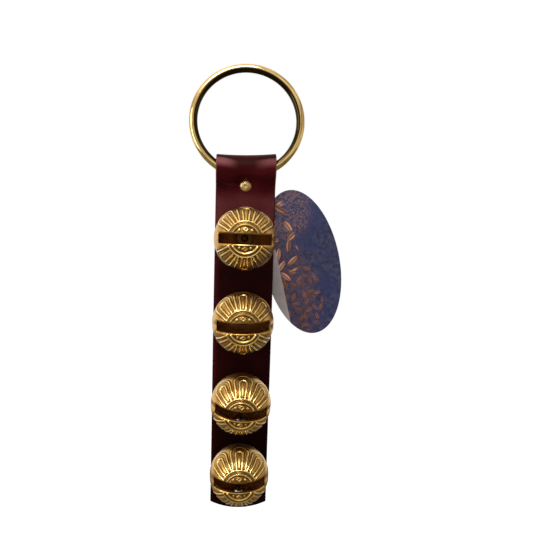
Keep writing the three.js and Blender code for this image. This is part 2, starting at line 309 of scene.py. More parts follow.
strap_line = np.array([point[:2] for point in back_line[:0:-1] + front_line])
strap_along = np.r_[0, np.cumsum(np.linalg.norm(np.diff(strap_line, axis=0), axis=1))]
rivet_along = strap_along[len(back_line) - 1 + front_line.index(rivet_place)]
ease = 3 * MM
eased_reach = 9 * MM
spread = np.exp(-((strap_along[:, None] - strap_along[None]) / ease) ** 2 / 2)
eased_line = spread @ strap_line / spread.sum(axis=1)[:, None]
near_rivet = np.exp(-((strap_along - rivet_along) / eased_reach) ** 4)[:, None]
strap_line += near_rivet * (eased_line - strap_line)
strap_heading = np.gradient(strap_line, strap_along, axis=0)
strap_heading /= np.linalg.norm(strap_heading, axis=1)[:, None]
strap_out = np.c_[strap_heading[:, 1], -strap_heading[:, 0]]


def strap_sheet():
    """The leather's middle as a grid, bent to the round cut near both ends, the loop's sides raised."""
    end_radius = (strap_half ** 2 + end_rise ** 2) / (2 * end_rise)
    bent = 12 * MM
    side_lift = 0.8 * MM
    skew_lift = 0.6 * MM
    row_count, column_count = 340, 41
    rows = np.linspace(0, strap_along[-1], row_count)[:, None]
    across = np.linspace(-strap_half, strap_half, column_count)[None, :]
    cut = end_radius - np.sqrt(end_radius ** 2 - across ** 2)
    along = rows + cut * np.clip(1 - rows / bent, 0, 1)
    along = along - cut * np.clip(1 - (strap_along[-1] - rows) / bent, 0, 1)
    y, z = (np.interp(along, strap_along, strap_line[:, k]) for k in (0, 1))
    lift = side_lift * (across / strap_half) ** 2 + skew_lift * across / strap_half
    z = z + lift * np.clip(z / loop_inside, 0, 1)
    grid = np.stack([np.broadcast_to(across, y.shape), y, z], axis=-1)
    starts = [i * column_count + j for i in range(row_count - 1) for j in range(column_count - 1)]
    faces = [(k, k + 1, k + column_count + 1, k + column_count) for k in starts]
    return grid.reshape(-1, 3), faces


def settle(piece):
    """Turns a piece's modifiers into its own mesh."""
    bpy.context.view_layer.update()
    graph = bpy.context.evaluated_depsgraph_get()
    mesh = bpy.data.meshes.new_from_object(piece.evaluated_get(graph))
    piece.modifiers.clear()
    piece.data = mesh


def cut_away(piece, verts, faces, place):
    """Takes a closed shape out of a piece."""
    cutter = make_piece("cutter", verts, faces, place)
    modifier = piece.modifiers.new("cut", "BOOLEAN")
    modifier.operation = "DIFFERENCE"
    modifier.solver = "EXACT"
    modifier.object = cutter
    settle(piece)
    bpy.data.objects.remove(cutter)


def rod(radius, length):
    """The section of a round rod about the middle of its axis."""
    return [(0, -length / 2), (radius, -length / 2), (radius, length / 2), (0, length / 2)]


def keep_place(piece):
    """Moves a piece's place into its mesh, so that its box is measured along the frame's axes."""
    piece.data.transform(piece.matrix_world)
    piece.matrix_world = Matrix.Identity(4)


def vertex_array(piece):
    """The points of a piece's mesh, one to a row."""
    points = np.zeros(3 * len(piece.data.vertices), np.float32)
    piece.data.vertices.foreach_get("co", points)
    return points.reshape(-1, 3).astype(float)


def set_attribute(piece, name, values):
    """Keeps one value at each point of a piece's mesh."""
    attribute = piece.data.attributes.new(name, "FLOAT", "POINT")
    attribute.data.foreach_set("value", np.asarray(values, np.float32))


def station_place(number):
    """The place of a bell's screw in the strap: its y axis goes through the leather."""
    y, z = stations[number]
    return hang @ Matrix.Translation((0, y, z)) @ Matrix.Rotation(bell_lean[number], 4, "X")


strap = make_piece("folded_strap", *strap_sheet(), hang)
solidify = strap.modifiers.new("thickness", "SOLIDIFY")
solidify.thickness = leather
solidify.offset = 0
edge = strap.modifiers.new("burnished_edge", "BEVEL")
edge.width = 0.7 * MM
edge.segments = 3
edge.limit_method = "ANGLE"
edge.angle_limit = math.radians(50)
settle(strap)

screw_hole = 2.4 * MM
rivet_hole = 1.9 * MM
hole_length = 5 * leather
hole_around = 32
rivet_at = hang @ Matrix.Translation((0, rivet_place[0], rivet_place[1]))
for hole, at in [(rivet_hole, rivet_at)] + [(screw_hole, station_place(i)) for i in range(len(stations))]:
    cut_away(strap, *turned(rod(hole, hole_length), hole_around), at)

# The rivet is set hard, so the leather lies flat round its head in front and round the burr behind.
strap_points = vertex_array(strap)
left_proud = 0.1 * MM
press_flat = 3.8 * MM
press_edge = 7 * MM
rivet_off = np.hypot(strap_points[:, 0], strap_points[:, 2] - rivet_place[1])
pressed = 0.5 + 0.5 * np.cos(math.pi * np.clip((rivet_off - press_flat) / (press_edge - press_flat), 0, 1))
front_face = rivet_place[0] - leather / 2 - left_proud
back_face = rivet_place[0] + leather * 1.5 + layer_gap + left_proud
strap_y = strap_points[:, 1]
grain_front = (strap_y < rivet_place[0] - leather / 4) & (strap_y < front_face)
burr_back = (strap_y > rivet_place[0] + leather * 1.25 + layer_gap) & (strap_y > back_face)
strap_y += pressed * ((front_face - strap_y) * grain_front + (back_face - strap_y) * burr_back)
strap.data.vertices.foreach_set("co", strap_points.astype(np.float32).ravel())

gaps = np.linalg.norm(strap_points[:, None, 1:] - strap_line[None, ::2], axis=2)
nearest = gaps.argmin(axis=1) * 2
outward = ((strap_points[:, 1:] - strap_line[nearest]) * strap_out[nearest]).sum(axis=1)
set_attribute(strap, "grain_side", outward / leather + 0.5)
set_attribute(strap, "from_edge", (strap_half - np.abs(strap_points[:, 0])) / MM)
shade_smooth(strap.data, 45)


def kept_value(material, name):
    """The value kept at each point of the mesh under a name."""
    return add(material, "ShaderNodeAttribute", attribute_name=name).outputs["Fac"]


def product(material, first, *others):
    """All the values multiplied together."""
    for other in others:
        first = calc(material, "MULTIPLY", first, other)
    return first


def leather_finish():
    """Glazed grain with fine pores, painted darker down the strap as shade, with a painted sheen, painted
    highlights and shade on the fold, painted shade in creases, dark edges and a bare flesh side.
    """
    oxblood = (0.035, 0.0009, 0.0024, 1), (0.052, 0.0024, 0.0052, 1)
    sheen_red = (0.063, 0.0105, 0.0125, 1), (0.09, 0.019, 0.021, 1)
    shaded_red = (0.011, 0.0002, 0.0006, 1), (0.019, 0.0005, 0.0012, 1)
    flesh_fibre = (0.07, 0.022, 0.02, 1), (0.13, 0.05, 0.04, 1)
    left_lit_red, tail_shade_colour = (0.045, 0.0022, 0.0042, 1), (0.003, 0.0002, 0.0004, 1)
    fold_shade, fold_middle_shade = (0.014, 0.0006, 0.001, 1), (0.026, 0.0004, 0.001, 1)
    fold_highlight_red, crease_shade = (0.19, 0.058, 0.06, 1), (0.012, 0.0005, 0.0008, 1)
    edge_dark, edge_tan = (0.02, 0.002, 0.003, 1), (0.14, 0.055, 0.03, 1)
    pore_size, pore_depth = 0.55 * MM, 0.02 * MM
    wrinkle_size, wrinkle_depth = 1.6 * MM, 0.03 * MM
    cloud_size, crease_size, fibre_size = 14 * MM, 2.6 * MM, 0.9 * MM
    fold_sag = 2.6 * MM
    # Where each colour, painted sheen, painted highlight or painted shade begins and is full, in mm of height, or
    # across for the left edge's painted light and crease_left.
    sheen_at, shaded_at, shaded_tail_at, left_lit_at = (-76, -85), (-96, -132), (-190, -240), (-15, -18.5)
    fold_top, fold_mid_at, lit_from, lit_to = (-58, -56), (-64, -60), (-64, -59.5), (-56.2, -58)
    tan_edge_at, crease_from, crease_to, crease_left = (-82, -72), (-80, -77), (-69, -72), (-4, -7)
    material, shader = new_finish("oxblood_leather")
    place = own_place(material)
    across, _, height = add(material, "ShaderNodeSeparateXYZ", {0: place}).outputs
    edge_mm = kept_value(material, "from_edge")

    def span(value, low, high, bottom=0.0, top=1.0):
        """A smooth step from one place in millimetres to another."""
        return between(material, value, low * MM, high * MM, bottom, top)

    clouds = noise(material, place, cloud_size, 4)
    mottle = between(material, clouds, 0.3, 0.72)
    upper = blend(material, mottle, *oxblood)
    # Painted sheen: a lighter, greyer red band just above the first bell.
    upper = blend(material, span(height, *sheen_at), upper, blend(material, mottle, *sheen_red))
    # Painted shade: the strap below the first bell is painted a darker red.
    lower = blend(material, mottle, *shaded_red)
    # Painted light: the left edge of the lower strap is painted a brighter red, as if lit from the left.
    lower = blend(material, span(across, *left_lit_at), lower, left_lit_red)
    # Painted shade: the tail is painted nearly black towards its end.
    lower = blend(material, span(height, *shaded_tail_at, 0, 0.7), lower, tail_shade_colour)
    dye = blend(material, span(height, *shaded_at), upper, lower)

    sagging = calc(material, "MULTIPLY_ADD", between(material, edge_mm, 0, 19), fold_sag, height)
    dye = blend(material, span(sagging, *fold_top), dye, fold_shade)
    # Painted shade: the middle of the fold is painted darker than its sides.
    mid_fold_shade = product(material, span(sagging, *fold_mid_at), between(material, edge_mm, 7, 15))
    dye = blend(material, mid_fold_shade, dye, fold_middle_shade)
    # Painted highlight: a pale, smile-shaped band below the fold's top, strongest at its sides.
    lit_fold_band = product(material, span(sagging, *lit_from), span(sagging, *lit_to))
    lit_fold_sides = product(material, between(material, edge_mm, 15, 4), span(across, -4, 12, 1.0, 0.6))
    dye = blend(material, product(material, lit_fold_band, lit_fold_sides), dye, fold_highlight_red)
    cut_edge = blend(material, span(height, *tan_edge_at), edge_dark, edge_tan)
    dye = blend(material, between(material, edge_mm, 0.9, 0.1), dye, cut_edge)

    # Painted shade: fine creases left of the rivet are painted as dark wandering lines.
    wander = noise(material, own_place(material, (0.12, 0.3, 1)), crease_size, 2)
    off_line = calc(material, "ABSOLUTE", calc(material, "SUBTRACT", wander, 0.5))
    crease_line = between(material, off_line, 0.05, 0.01, 0, 0.7)
    creased = product(
        material, span(height, *crease_from), span(height, *crease_to), span(across, *crease_left))
    dye = blend(material, product(material, crease_line, creased), dye, crease_shade)

    pores = add(material, "ShaderNodeTexVoronoi", {"Vector": place, "Scale": 1 / pore_size}).outputs[0]
    wrinkles = noise(material, own_place(material, (0.25, 1, 1)), wrinkle_size, 3)
    fibre = blend(material, noise(material, place, fibre_size, 4), *flesh_fibre)
    flesh = between(material, kept_value(material, "grain_side"), 0.3, 0.1)
    glaze = between(material, clouds, 0.25, 0.75, 0.42, 0.54)
    wire(material, shader, {
        "Base Color": blend(material, flesh, dye, fibre),
        "Roughness": add(material, "ShaderNodeMix", {0: flesh, 2: glaze, 3: 0.85}).outputs[0],
        "Specular IOR Level": 0.05,
        "Normal": bumped(material, wrinkles, wrinkle_depth, bumped(material, pores, pore_depth)),
    })
    return material


give_finish(strap, leather_finish())
keep_place(strap)
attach(strap, "strap")
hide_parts("strap")

# Rivet and burr: a solid brass rivet driven from the front through both layers.
# Its end is cut short and peened over a loose washer, the burr, behind the fold.
rivet_head = 3.6 * MM
rivet_rise = 1.2 * MM
dimple_depth = 0.3 * MM
dimple_share = 0.36
rivet_shank = 1.6 * MM
head_seat = -1.7 * MM
burr_seat = layer_gap + leather + 1.2 * MM
burr_radius = 4 * MM
burr_thick = 1 * MM
burr_bore = 1.9 * MM
burr_round = 0.25 * MM
peen_seat = burr_seat + burr_thick + layer_gap
peen_radius = 2.5 * MM
peen_rise = 0.8 * MM
rivet_around = 64


def dome(radius, seat, rise, steps=10):
    """Points of a low dome from its pole to its rim."""
    angles = np.linspace(0, math.pi / 2, steps)
    return [(radius * math.sin(a), seat + rise * math.cos(a)) for a in angles]


def washer(inside, outside, seat, thick, round_off):
    """The section of a flat ring with its two outer edges rounded off."""
    top = seat + thick
    turns = np.linspace(0, math.pi / 2, 5)
    low = [(outside - round_off * (1 - math.sin(a)), seat + round_off * (1 - math.cos(a))) for a in turns]
    high = [(outside - round_off * (1 - math.cos(a)), top - round_off * (1 - math.sin(a))) for a in turns]
    return [(inside, seat)] + low + high + [(inside, top)]


head_share = np.linspace(0, 1, 24)
head_top = rivet_rise * (1 - head_share ** 3) ** 0.8
head_top -= dimple_depth * np.clip(1 - (head_share / dimple_share) ** 2, 0, 1)
rivet_profile = list(zip(rivet_head * head_share, head_seat - head_top))
rivet_profile += [(rivet_shank, head_seat), (rivet_shank, peen_seat)]
rivet_profile += dome(peen_radius, peen_seat, peen_rise)[::-1]
burr_profile = washer(burr_bore, burr_radius, burr_seat, burr_thick, burr_round)
rivet_bright, rivet_dull = (0.74, 0.57, 0.31, 1), (0.54, 0.40, 0.2, 1)
fastener_brass = brass_finish("fastener_brass", rivet_bright, rivet_dull, 0.34, 0.52)
rivet = make_piece("fold_rivet_set", *turned(rivet_profile, rivet_around), rivet_at)
burr = make_piece("rivet_burr_ring", *turned(burr_profile, rivet_around), rivet_at)
for piece, node in ((rivet, "fold_rivet"), (burr, "rivet_burr")):
    give_finish(piece, fastener_brass)
    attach(piece, "strap")
    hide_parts(node)

# Bells: each is one hollow casting of brass with a slot sawn across its face and a foot and boss behind.
# Two raised rings frame a medallion, and petals of double raised line stand round it.
# The raised lines are worn bright and painted with a highlight, and tarnish stays in the low parts.
bell_radius = 19.05 * MM
bell_wall = 2.2 * MM
slot_half = 3.1 * MM
slot_span = 16 * MM
foot_radius = 6 * MM
foot_rise = 1.2 * MM
foot_bevel = 0.3 * MM
boss_radius = 4.5 * MM
boss_length = 5 * MM
bell_seat = leather / 2 + 0.3 * MM
bell_turn = [math.radians(a) for a in (1, -1, 3.5, -1)]
ridge_angles = [math.radians(a) for a in (26, 34)]
line_half = 0.62 * MM
line_rise = 0.5 * MM
rim_rise = 0.35 * MM
dip_depth = 0.2 * MM
medal_depth = 0.38 * MM
motif_rise = 0.2 * MM
motif_rows = [(5.8 * MM, 2.1 * MM, 3.9 * MM, 1.1 * MM), (-5.8 * MM, 1.9 * MM, 3.4 * MM, 0.9 * MM)]
rim_angles = [math.radians(a) for a in (58, 84)]
petal_spacing = math.radians(45)
petal_field = 0.15 * MM
petal_loops = [(7.6 * MM, 11 * MM, math.radians(86)), (3 * MM, 4.6 * MM, math.radians(73))]
lip_round = 1.2 * MM
lip_depth = 0.8 * MM
run_out_depth = 1.0 * MM
bell_around = 432


def crest(distance, half):
    """The height of a rounded ridge, 1 at its middle and 0 from half its width on."""
    return np.clip(1 - (distance / half) ** 2, 0, 1)


def step(value, low, high):
    """0 below low, 1 above high, and smooth between."""
    t = np.clip((value - low) / (high - low), 0, 1)
    return t * t * (3 - 2 * t)


def loop_distance(aside, angle, base, shoulder, top):
    """How far a point of the face lies outside (or inside, negative) the middle line of one petal loop."""
    foot = ridge_angles[1] * bell_radius
    crown = top * bell_radius - shoulder / 2
    up = angle * bell_radius
    leg_half = base / 2 + (shoulder - base) / 2 * (up - foot) / (crown - foot)
    legs = (np.abs(aside) - leg_half) * math.cos(math.atan2((shoulder - base) / 2, crown - foot))
    return np.where(up > crown, np.hypot(aside, up - crown) - shoulder / 2, legs)


def medal_motif(x, z):
    """A lozenge between two beads in each half of the medallion."""
    rise = np.zeros_like(x)
    for middle, size, bead_x, bead in motif_rows:
        lozenge = (np.abs(x) * 0.8 + np.abs(z - middle)) / size
        rise = np.maximum(rise, step(lozenge, 1, 0.6) - 0.7 * step(lozenge, 0.45, 0.2))
        for side in (-1, 1):
            bead_off = np.hypot(x - side * bead_x, z - middle * 0.93) / bead
            rise = np.maximum(rise, np.sqrt(np.clip(1 - bead_off ** 2, 0, 1)))
    return rise


def bell_relief(angle, around):
    """The cast face's height and tarnish, by angle off the axis and turn from the top."""
    x = bell_radius * np.sin(angle) * np.sin(around)
    z = bell_radius * np.sin(angle) * np.cos(around)
    inside = step(angle, ridge_angles[0], ridge_angles[0] - 0.04)
    outside = step(angle, ridge_angles[1] - 0.02, ridge_angles[1] + 0.02)
    to_rim = step(angle, *rim_angles)
    lines, dips, fields = np.zeros((3,) + np.broadcast(angle, around).shape)
    distances = [((angle - ridge) * bell_radius + 0 * around, 1) for ridge in ridge_angles]
    for side in (0, math.pi):
        for place in (-1, 0, 1):
            off = (around - side - place * petal_spacing + math.pi) % (2 * math.pi) - math.pi
            here = (np.abs(off) < math.pi / 4) * outside
            aside = off * bell_radius * np.sin(angle)
            outer, inner = (loop_distance(aside, angle, *loop) for loop in petal_loops)
            fields = np.maximum(fields, here * step(outer, 0, -1.3 * line_half))
            distances += [(outer, here), (inner, here)]
    for distance, here in distances:
        lines = np.maximum(lines, here * crest(distance, line_half))
        dips = np.maximum(dips, here * crest(np.abs(distance) - 1.5 * line_half, 0.6 * line_half))
    dips = dips * (1 - lines)
    motif = inside * medal_motif(x, z)
    rise = lines * (line_rise - (line_rise - rim_rise) * to_rim)
    rise -= dip_depth * dips * (1 - 0.7 * to_rim)
    rise -= petal_field * fields * (1 - to_rim) + medal_depth * inside
    rise += (medal_depth + motif_rise) * motif
    ring_gap = step(angle, ridge_angles[0], ridge_angles[0] + 0.03) * (1 - outside) + 0 * around
    medal_ground = inside * (1 - motif)
    tarnish = np.maximum.reduce([0.15 * fields, 0.35 * ring_gap, dips, 0.75 * medal_ground]) * (1 - lines)
    lip = step(np.abs(z), slot_half + lip_round, slot_half) * (np.cos(angle) > 0)
    lip = lip * step(slot_span + lip_round - np.abs(x), 0, lip_round)
    run_out = np.clip(1 - np.abs(z) / slot_half, 0, 1) * step(np.abs(x), slot_span - lip_round, slot_span)
    run_out = run_out * step(np.cos(angle), -0.1, 0.3)
    rise = rise * (1 - lip) - lip_depth * lip ** 2
    rise = np.minimum(rise, rise * (1 - run_out) - run_out_depth * run_out)
    return rise, tarnish * (1 - lip)


def band(low, high, count):
    """The faces between two rings of points, whose first points have these numbers."""
    return [(low + k, low + (k + 1) % count, high + (k + 1) % count, high + k) for k in range(count)]


def cap(pole, ring, count):
    """The faces between one point and a ring of points."""
    return [(pole, ring + (k + 1) % count, ring + k) for k in range(count)]


def bell_casting():
    """Rings of points from the front pole round the outside, up the bore and back round the inside."""
    foot_angle = math.pi - math.asin(foot_radius / bell_radius)
    fine_end = math.radians(100)
    angle = np.r_[np.linspace(0, fine_end, 150)[1:], np.linspace(fine_end, foot_angle, 24)[1:]][:, None]
    around = np.linspace(0, 2 * math.pi, bell_around, endpoint=False)[None, :]
    radius = bell_radius + bell_relief(angle, around)[0]
    outside = np.stack([
        radius * np.sin(angle) * np.sin(around),
        -radius * np.cos(angle) + 0 * around,
        radius * np.sin(angle) * np.cos(around),
    ], axis=-1)
    cavity = bell_radius - bell_wall
    foot_end = bell_radius + foot_rise
    boss_end = cavity - boss_length
    boss_angle = math.pi - math.asin(boss_radius / cavity)
    profile = [(foot_radius, foot_end - foot_bevel), (foot_radius - foot_bevel, foot_end)]
    profile += [(screw_hole, foot_end), (screw_hole, boss_end), (boss_radius, boss_end)]
    profile += [(cavity * math.sin(a), -cavity * math.cos(a)) for a in np.linspace(boss_angle, 0, 48)[:-1]]
    circle_x, circle_z, level = np.sin(around[0]), np.cos(around[0]), np.ones(bell_around)
    inside = [np.stack([r * circle_x, y * level, r * circle_z], axis=-1) for r, y in profile]
    rings = np.concatenate([outside, inside])
    verts = np.r_[rings.reshape(-1, 3), [[0, -bell_radius, 0], [0, -cavity, 0]]]
    starts = [i * bell_around for i in range(len(rings))]
    front_pole = len(rings) * bell_around
    faces = [face for low, high in zip(starts, starts[1:]) for face in band(low, high, bell_around)]
    faces += cap(front_pole, 0, bell_around) + cap(front_pole + 1, starts[-1], bell_around)
    return verts, faces


def box_shape(low, high):
    """The corners and sides of a box."""
    corners = [(x, y, z) for x in (low[0], high[0]) for y in (low[1], high[1]) for z in (low[2], high[2])]
    return corners, [(0, 1, 3, 2), (4, 6, 7, 5), (0, 4, 5, 1), (2, 3, 7, 6), (0, 2, 6, 4), (1, 5, 7, 3)]


def bell_finish():
    """Cast brass: worn bright and painted with a highlight on the raised lines, satin on the wall, tarnished in
    the dips, raw inside, with painted shade on the boss.
    """
    wall_brass = (0.69, 0.43, 0.14, 1), (0.54, 0.32, 0.09, 1)
    line_bright, dip_dark = (1.0, 0.79, 0.37, 1), (0.03, 0.017, 0.007, 1)
    raw_brass, boss_shade = (0.5, 0.24, 0.065, 1), (0.17, 0.075, 0.02, 1)
    cast_grain, cast_depth = 0.35 * MM, 0.012 * MM
    cloud_size, stain_size = 5 * MM, 0.8 * MM
    material, shader = new_finish("bell_brass")
    place = own_place(material)
    height = kept_value(material, "relief")
    cloud = between(material, noise(material, place, cloud_size, 4), 0.35, 0.72)
    patchy = between(material, noise(material, place, stain_size, 4), 0.25, 0.6, 0.6, 1)
    stain = product(material, kept_value(material, "tarnish"), patchy)
    hollow = between(material, height, -1.8, -2.15)
    # The raised lines are painted a paler brass: partly polish from handling, partly a painted highlight.
    painted_light_mask = between(material, height, 0.08, 0.28)
    colour = blend(material, stain, blend(material, cloud, *wall_brass), dip_dark)
    colour = blend(material, painted_light_mask, colour, line_bright)
    colour = blend(material, hollow, colour, raw_brass)
    # Painted shade: the boss face deep inside the bell is painted dark brown.
    colour = blend(material, between(material, height, -3, -5), colour, boss_shade)
    satin = between(material, height, 0.1, 0.34, 0.31, 0.16)
    wire(material, shader, {
        "Base Color": colour,
        "Metallic": between(material, hollow, 0, 1, 1.0, 0.6),
        "Roughness": add(material, "ShaderNodeMix", {0: hollow, 2: satin, 3: 0.38}).outputs[0],
        "Normal": bumped(material, noise(material, place, cast_grain, 3), cast_depth),
    })
    return material


casting = make_piece("bell_casting_1", *bell_casting(), Matrix.Identity(4))
slot_low = (-slot_span, -2 * bell_radius, -slot_half)
slot_high = (slot_span, -bell_wall, slot_half)
cut_away(casting, *box_shape(slot_low, slot_high), Matrix.Identity(4))
shade_smooth(casting.data, 42)
casting_points = vertex_array(casting)
casting_reach = np.linalg.norm(casting_points, axis=1)
casting_angle = np.arccos(np.clip(-casting_points[:, 1] / casting_reach, -1, 1))
casting_around = np.arctan2(casting_points[:, 0], casting_points[:, 2])
set_attribute(casting, "relief", (casting_reach - bell_radius) / MM)
set_attribute(casting, "tarnish", bell_relief(casting_angle, casting_around)[1])
give_finish(casting, bell_finish())
bell_centre = Matrix.Translation((0, -(bell_seat + foot_rise + bell_radius), 0))
for number, turn in enumerate(bell_turn):
    bell = casting if number == 0 else bpy.data.objects.new(f"bell_casting_{number + 1}", casting.data)
    if number:
        bpy.context.scene.collection.objects.link(bell)
    bell.matrix_world = station_place(number) @ bell_centre @ Matrix.Rotation(turn, 4, "Y")
    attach(bell, "strap")
    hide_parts(f"bell_{number + 1}")

# Clappers: a loose tumbled steel ball in each bell, dark and slightly uneven, as cheap shot is.
# It is too large for the slot, and rests at the bottom of the hollow.
ball_radius = 4.75 * MM
ball_wobble = 0.006
ball_around = 48
ball_cloud, ball_spot, ball_pit, pit_depth = 2.5 * MM, 0.8 * MM, 0.6 * MM, 0.02 * MM
steel_bright, steel_dark = (0.40, 0.38, 0.35, 1), (0.24, 0.22, 0.2, 1)
steel, steel_shader = new_finish("steel_ball")
steel_place = own_place(steel)
steel_cloud = between(steel, noise(steel, steel_place, ball_cloud, 4), 0.35, 0.7)
wire(steel, steel_shader, {
    "Base Color": blend(steel, steel_cloud, steel_bright, steel_dark),
    "Metallic": 1.0,
    "Roughness": between(steel, noise(steel, steel_place, ball_spot), 0.3, 0.7, 0.16, 0.34),
    "Normal": bumped(steel, noise(steel, steel_place, ball_pit), pit_depth),
})


def half_circle(radius):
    """Points from pole to pole, to be turned to a ball."""
    return [(radius * math.sin(a), -radius * math.cos(a)) for a in np.linspace(0, math.pi, 33)]


ball_verts, ball_faces = turned(half_circle(ball_radius), ball_around)
for number in range(len(stations)):
    node = f"clapper_{number + 1}"
    low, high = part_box(node)
    waves = [math.sin(900 * x + number) * math.cos(700 * z - 500 * y) for x, y, z in ball_verts]
    uneven = [tuple(c * (1 + ball_wobble * wave) for c in v) for v, wave in zip(ball_verts, waves)]
    ball = make_piece(f"steel_ball_{number + 1}", uneven, ball_faces, Matrix.Translation((low + high) / 2))
    give_finish(ball, steel)
    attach(ball, node)
    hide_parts(node)

# Screws and washers: a slotted brass pan-head screw from behind holds each bell by its boss.
# A flat washer spreads its pull on the leather.
screw_radius = 2.1 * MM
screw_end_radius = 1.5 * MM
screw_end_bevel = 0.6 * MM
screw_head = 4 * MM
screw_rise = 2.2 * MM
screw_tip = -(bell_seat + 6 * MM)
washer_radius = 6.5 * MM
washer_thick = 1 * MM
washer_round = 0.25 * MM
washer_seat = leather / 2 + 0.3 * MM
screw_seat = washer_seat + washer_thick + 0.3 * MM
screw_top = screw_seat + screw_rise
# The screw's tip inside the bell is painted brown as painted shade.
shaded_to = screw_tip + 2 * MM
driver_half = 0.55 * MM
driver_depth = 1 * MM
head_round = 0.8 * MM
screw_around, washer_around = 56, 64
head_turns = np.linspace(0, math.pi / 2, 6)
# The screw brass is painted darker than the rivet's, as shade on the tip that shows in the bell's hollow.
screw_bright, screw_dull = (0.50, 0.38, 0.2, 1), (0.32, 0.23, 0.11, 1)
screw_brass = brass_finish("screw_brass", screw_bright, screw_dull, 0.34, 0.52, shade_before=shaded_to)
screw_profile = [
    (0, screw_tip), (screw_end_radius, screw_tip), (screw_radius, screw_tip + screw_end_bevel),
    (screw_radius, screw_seat), (screw_head, screw_seat),
]
for a in head_turns:
    head_in, head_down = head_round * (1 - math.cos(a)), head_round * (1 - math.sin(a))
    screw_profile.append((screw_head - head_in, screw_top - head_down))
screw_profile.append((0, screw_top))
washer_profile = washer(screw_hole, washer_radius, washer_seat, washer_thick, washer_round)
driver_low = (-2 * screw_head, screw_top - driver_depth, -driver_half)
driver_high = (2 * screw_head, screw_top + driver_depth, driver_half)
for number in range(len(stations)):
    at = station_place(number)
    screw = make_piece(f"pan_screw_{number + 1}", *turned(screw_profile, screw_around), at)
    cut_away(screw, *box_shape(driver_low, driver_high), at)
    shade_smooth(screw.data)
    flat = make_piece(f"flat_washer_{number + 1}", *turned(washer_profile, washer_around), at)
    for piece, node in ((screw, f"bell_screw_{number + 1}"), (flat, f"bell_washer_{number + 1}")):
        give_finish(piece, screw_brass)
        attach(piece, "strap")
        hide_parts(node)

# Swing tag: an oval of thin coated card with a punched hole, tucked behind the strap's right edge.
# It is printed in slate blue and russet, with a pale strip at its lower left.
tag_long = 48.3 * MM
tag_short = 24.9 * MM
tag_tilt = math.radians(13.6)
tag_hole = 2 * MM
tag_margin = 2 * MM
to_hang = hang.inverted()
tag_corners = np.array([to_hang @ v.co for v in frame["nodes"]["swing_tag"].data.vertices])
tag_low = tag_corners.min(axis=0)
tag_high = tag_corners.max(axis=0)
tag_thick = tag_high[1] - tag_low[1]
tag_centre = (tag_low + tag_high) / 2


def tag_card():
    """The card as rings of an oval from its edge to its middle, on both faces."""
    rings, around = 60, 240
    turn = np.linspace(0, 2 * math.pi, around, endpoint=False)
    verts = []
    faces = []
    for face, y in enumerate((-tag_thick / 2, tag_thick / 2)):
        for share in np.linspace(1, 0, rings + 1)[:-1]:
            x = tag_short * share * np.cos(turn)
            z = tag_long * share * np.sin(turn)
            verts += list(zip(x, np.full(around, y), z))
        verts.append((0, y, 0))
        start = face * (rings * around + 1)
        for i in range(rings - 1):
            faces += band(start + i * around, start + (i + 1) * around, around)
        last = start + (rings - 1) * around
        faces += [(last + k, last + (k + 1) % around, start + rings * around) for k in range(around)]
    other = rings * around + 1
    faces += [(k, other + k, other + (k + 1) % around, (k + 1) % around) for k in range(around)]
    return verts, faces


tag_at = hang @ Matrix.Translation(tag_centre) @ Matrix.Rotation(-tag_tilt, 4, "Y")
tag = make_piece("printed_tag", *tag_card(), tag_at)
tuck_across = tag_short * math.cos(tag_tilt)
tuck_slant = tag_long * math.sin(tag_tilt)
tuck_turn = math.pi - math.atan2(tuck_slant, tuck_across)
hole_inset = tag_hole + tag_margin
hole_x = tag_short * math.cos(tuck_turn) + hole_inset * math.cos(tag_tilt)
hole_z = tag_long * math.sin(tuck_turn) - hole_inset * math.sin(tag_tilt)
hole_at = tag_at @ Matrix.Translation((hole_x, 0, hole_z))
punch_length = 4 * MM
cut_away(tag, *turned(rod(tag_hole, punch_length), 40), hole_at)
shade_smooth(tag.data)
tag_points = vertex_array(tag)
set_attribute(tag, "card_across", tag_points[:, 0] / MM)
set_attribute(tag, "card_along", tag_points[:, 2] / MM)
set_attribute(tag, "card_front", tag_points[:, 1] < -tag_thick / 4)


